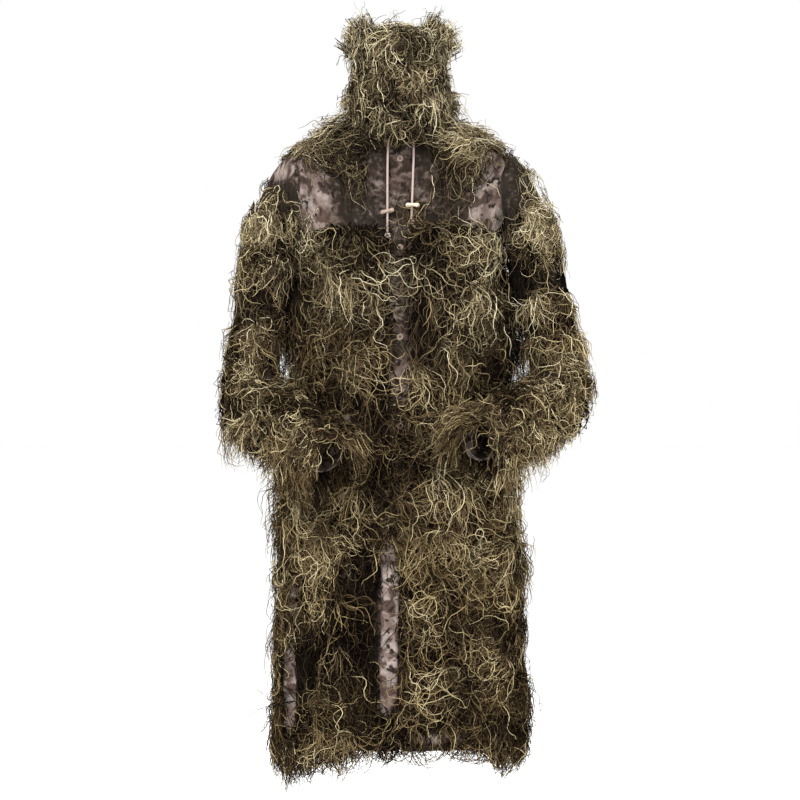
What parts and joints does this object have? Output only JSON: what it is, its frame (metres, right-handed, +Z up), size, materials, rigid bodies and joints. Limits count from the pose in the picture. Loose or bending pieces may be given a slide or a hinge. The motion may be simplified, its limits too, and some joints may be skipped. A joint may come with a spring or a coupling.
{
  "type": "ghillie suit",
  "caption": "Long hooded camouflage coat covered in hanging jute threads, with a face veil, drawcords, jointed sleeves and opening skirt fronts.",
  "frame": {"origin": "base of the neck, in the middle of the line where the coat rests on the shoulders", "axes": "+Z up, -Y the front of the coat, +X the wearer's left"},
  "size_m": [0.7437, 0.4121, 1.574],
  "materials": {
    "camo_cloth": "matte, woven, blotched",
    "jute_thread": "matte, twisted jute",
    "face_net": "matte net",
    "drawcord": "matte, braided",
    "webbing": "matte webbing",
    "button": "matte",
    "toggle": "smooth, pale"
  },
  "bodies": {
    "coat": {"back_panel_centre": "camo_cloth", "back_panel_left": "camo_cloth", "back_panel_right": "camo_cloth", "back_yoke": "camo_cloth", "side_panel_left": "camo_cloth", "side_panel_right": "camo_cloth", "front_panel_left": "camo_cloth", "front_panel_right": "camo_cloth", "chest_yoke_left": "camo_cloth", "chest_yoke_right": "camo_cloth", "shoulder_yoke_left": "camo_cloth", "shoulder_yoke_right": "camo_cloth", "collar_stand": "camo_cloth", "fly_placket": "camo_cloth", "button_stand": "camo_cloth", "buttons": "button", "hang_loop": "webbing", "hem_band": "camo_cloth", "fringe_back": "jute_thread", "cord_outlets": "webbing", "drawcord_left": "drawcord", "drawcord_right": "drawcord", "cord_knots": "drawcord", "jute_shoulder_left": "jute_thread", "jute_shoulder_right": "jute_thread", "jute_front_left": "jute_thread", "jute_front_right": "jute_thread", "jute_back": "jute_thread", "jute_sides": "jute_thread"},
    "skirt_left": {"skirt_panel_left": "camo_cloth", "skirt_underlap": "camo_cloth", "jute_skirt_left": "jute_thread", "fringe_left": "jute_thread"},
    "skirt_right": {"skirt_panel_right": "camo_cloth", "skirt_placket": "camo_cloth", "jute_skirt_right": "jute_thread", "fringe_right": "jute_thread"},
    "hood": {"hood_side_left": "camo_cloth", "hood_side_right": "camo_cloth", "hood_centre": "camo_cloth", "hood_channel": "camo_cloth", "hood_drawcord": "drawcord", "jute_hood": "jute_thread"},
    "veil": {"veil_net": "face_net", "jute_veil": "jute_thread"},
    "toggle_left": {"toggle_left": "toggle"},
    "toggle_right": {"toggle_right": "toggle"},
    "upper_arm_left": {"upper_sleeve_left": "camo_cloth", "jute_upper_left": "jute_thread"},
    "forearm_left": {"forearm_sleeve_left": "camo_cloth", "cuff_left": "camo_cloth", "cuff_tab_left": "camo_cloth", "jute_forearm_left": "jute_thread"},
    "upper_arm_right": {"upper_sleeve_right": "camo_cloth", "jute_upper_right": "jute_thread"},
    "forearm_right": {"forearm_sleeve_right": "camo_cloth", "cuff_right": "camo_cloth", "cuff_tab_right": "camo_cloth", "jute_forearm_right": "jute_thread"}
  },
  "joints": [
    {"name": "shoulder_right", "type": "hinge", "parent": "coat", "child": "upper_arm_right", "pos_m": [-0.24, 0.005, -0.082], "axis": [0, 1, 0], "range_deg": [0, 60]},
    {"name": "elbow_right", "type": "hinge", "parent": "upper_arm_right", "child": "forearm_right", "pos_m": [-0.305, -0.04, -0.5], "axis": [-0.6268, -0.7583, 0.1791], "range_deg": [-55, 12]},
    {"name": "shoulder_left", "type": "hinge", "parent": "coat", "child": "upper_arm_left", "pos_m": [0.24, 0.005, -0.082], "axis": [0, -1, 0], "range_deg": [0, 60]},
    {"name": "elbow_left", "type": "hinge", "parent": "upper_arm_left", "child": "forearm_left", "pos_m": [0.326, -0.04, -0.492], "axis": [-0.6055, 0.7673, -0.2112], "range_deg": [-55, 12]},
    {"name": "hood_fold", "type": "hinge", "parent": "coat", "child": "hood", "pos_m": [0, 0.1, 0.062], "axis": [-1, 0, 0], "range_deg": [0, 100]},
    {"name": "veil_lift", "type": "hinge", "parent": "hood", "child": "veil", "pos_m": [0, -0.1, 0.232], "axis": [-1, 0, 0], "range_deg": [0, 100]},
    {"name": "skirt_open_right", "type": "hinge", "parent": "coat", "child": "skirt_right", "pos_m": [-0.244, -0.014, -0.95], "axis": [0, 0, -1], "range_deg": [0, 40]},
    {"name": "toggle_slide_right", "type": "slide", "parent": "coat", "child": "toggle_right", "axis": [0, 0, 1], "range_m": [-0.02, 0.02]},
    {"name": "skirt_open_left", "type": "hinge", "parent": "coat", "child": "skirt_left", "pos_m": [0.244, -0.014, -0.95], "axis": [0, 0, 1], "range_deg": [0, 40]},
    {"name": "toggle_slide_left", "type": "slide", "parent": "coat", "child": "toggle_left", "axis": [0, 0, 1], "range_m": [-0.02, 0.02]}
  ]
}
